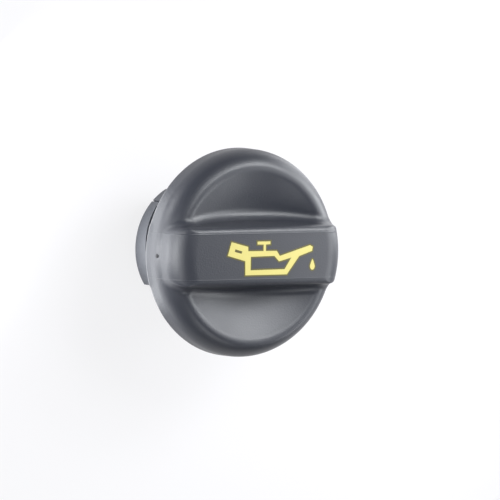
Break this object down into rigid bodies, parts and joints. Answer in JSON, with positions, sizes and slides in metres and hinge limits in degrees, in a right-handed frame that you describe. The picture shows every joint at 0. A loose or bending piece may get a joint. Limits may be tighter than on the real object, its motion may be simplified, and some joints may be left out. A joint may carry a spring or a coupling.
{
  "type": "oil filler cap",
  "caption": "Round black oil filler cap with a raised grip bar between two dished recesses, a ramped bayonet stem and a flat sealing ring.",
  "frame": {"origin": "centre of the stem's lower end, which the cap stands on", "axes": "+Z along the cap's axis to the grip face, X along the grip bar, with the pictogram's spout towards +X, +Y to the pictogram's top"},
  "size_m": [0.0624, 0.062, 0.044],
  "materials": {
    "cover": "fine-grained black moulding with a soft sheen",
    "insert": "smoother black moulding",
    "seal": "matt black rubber"
  },
  "bodies": {
    "root": {"cover": "cover", "bayonet_insert": "insert", "sealing_ring": "seal"}
  },
  "joints": []
}
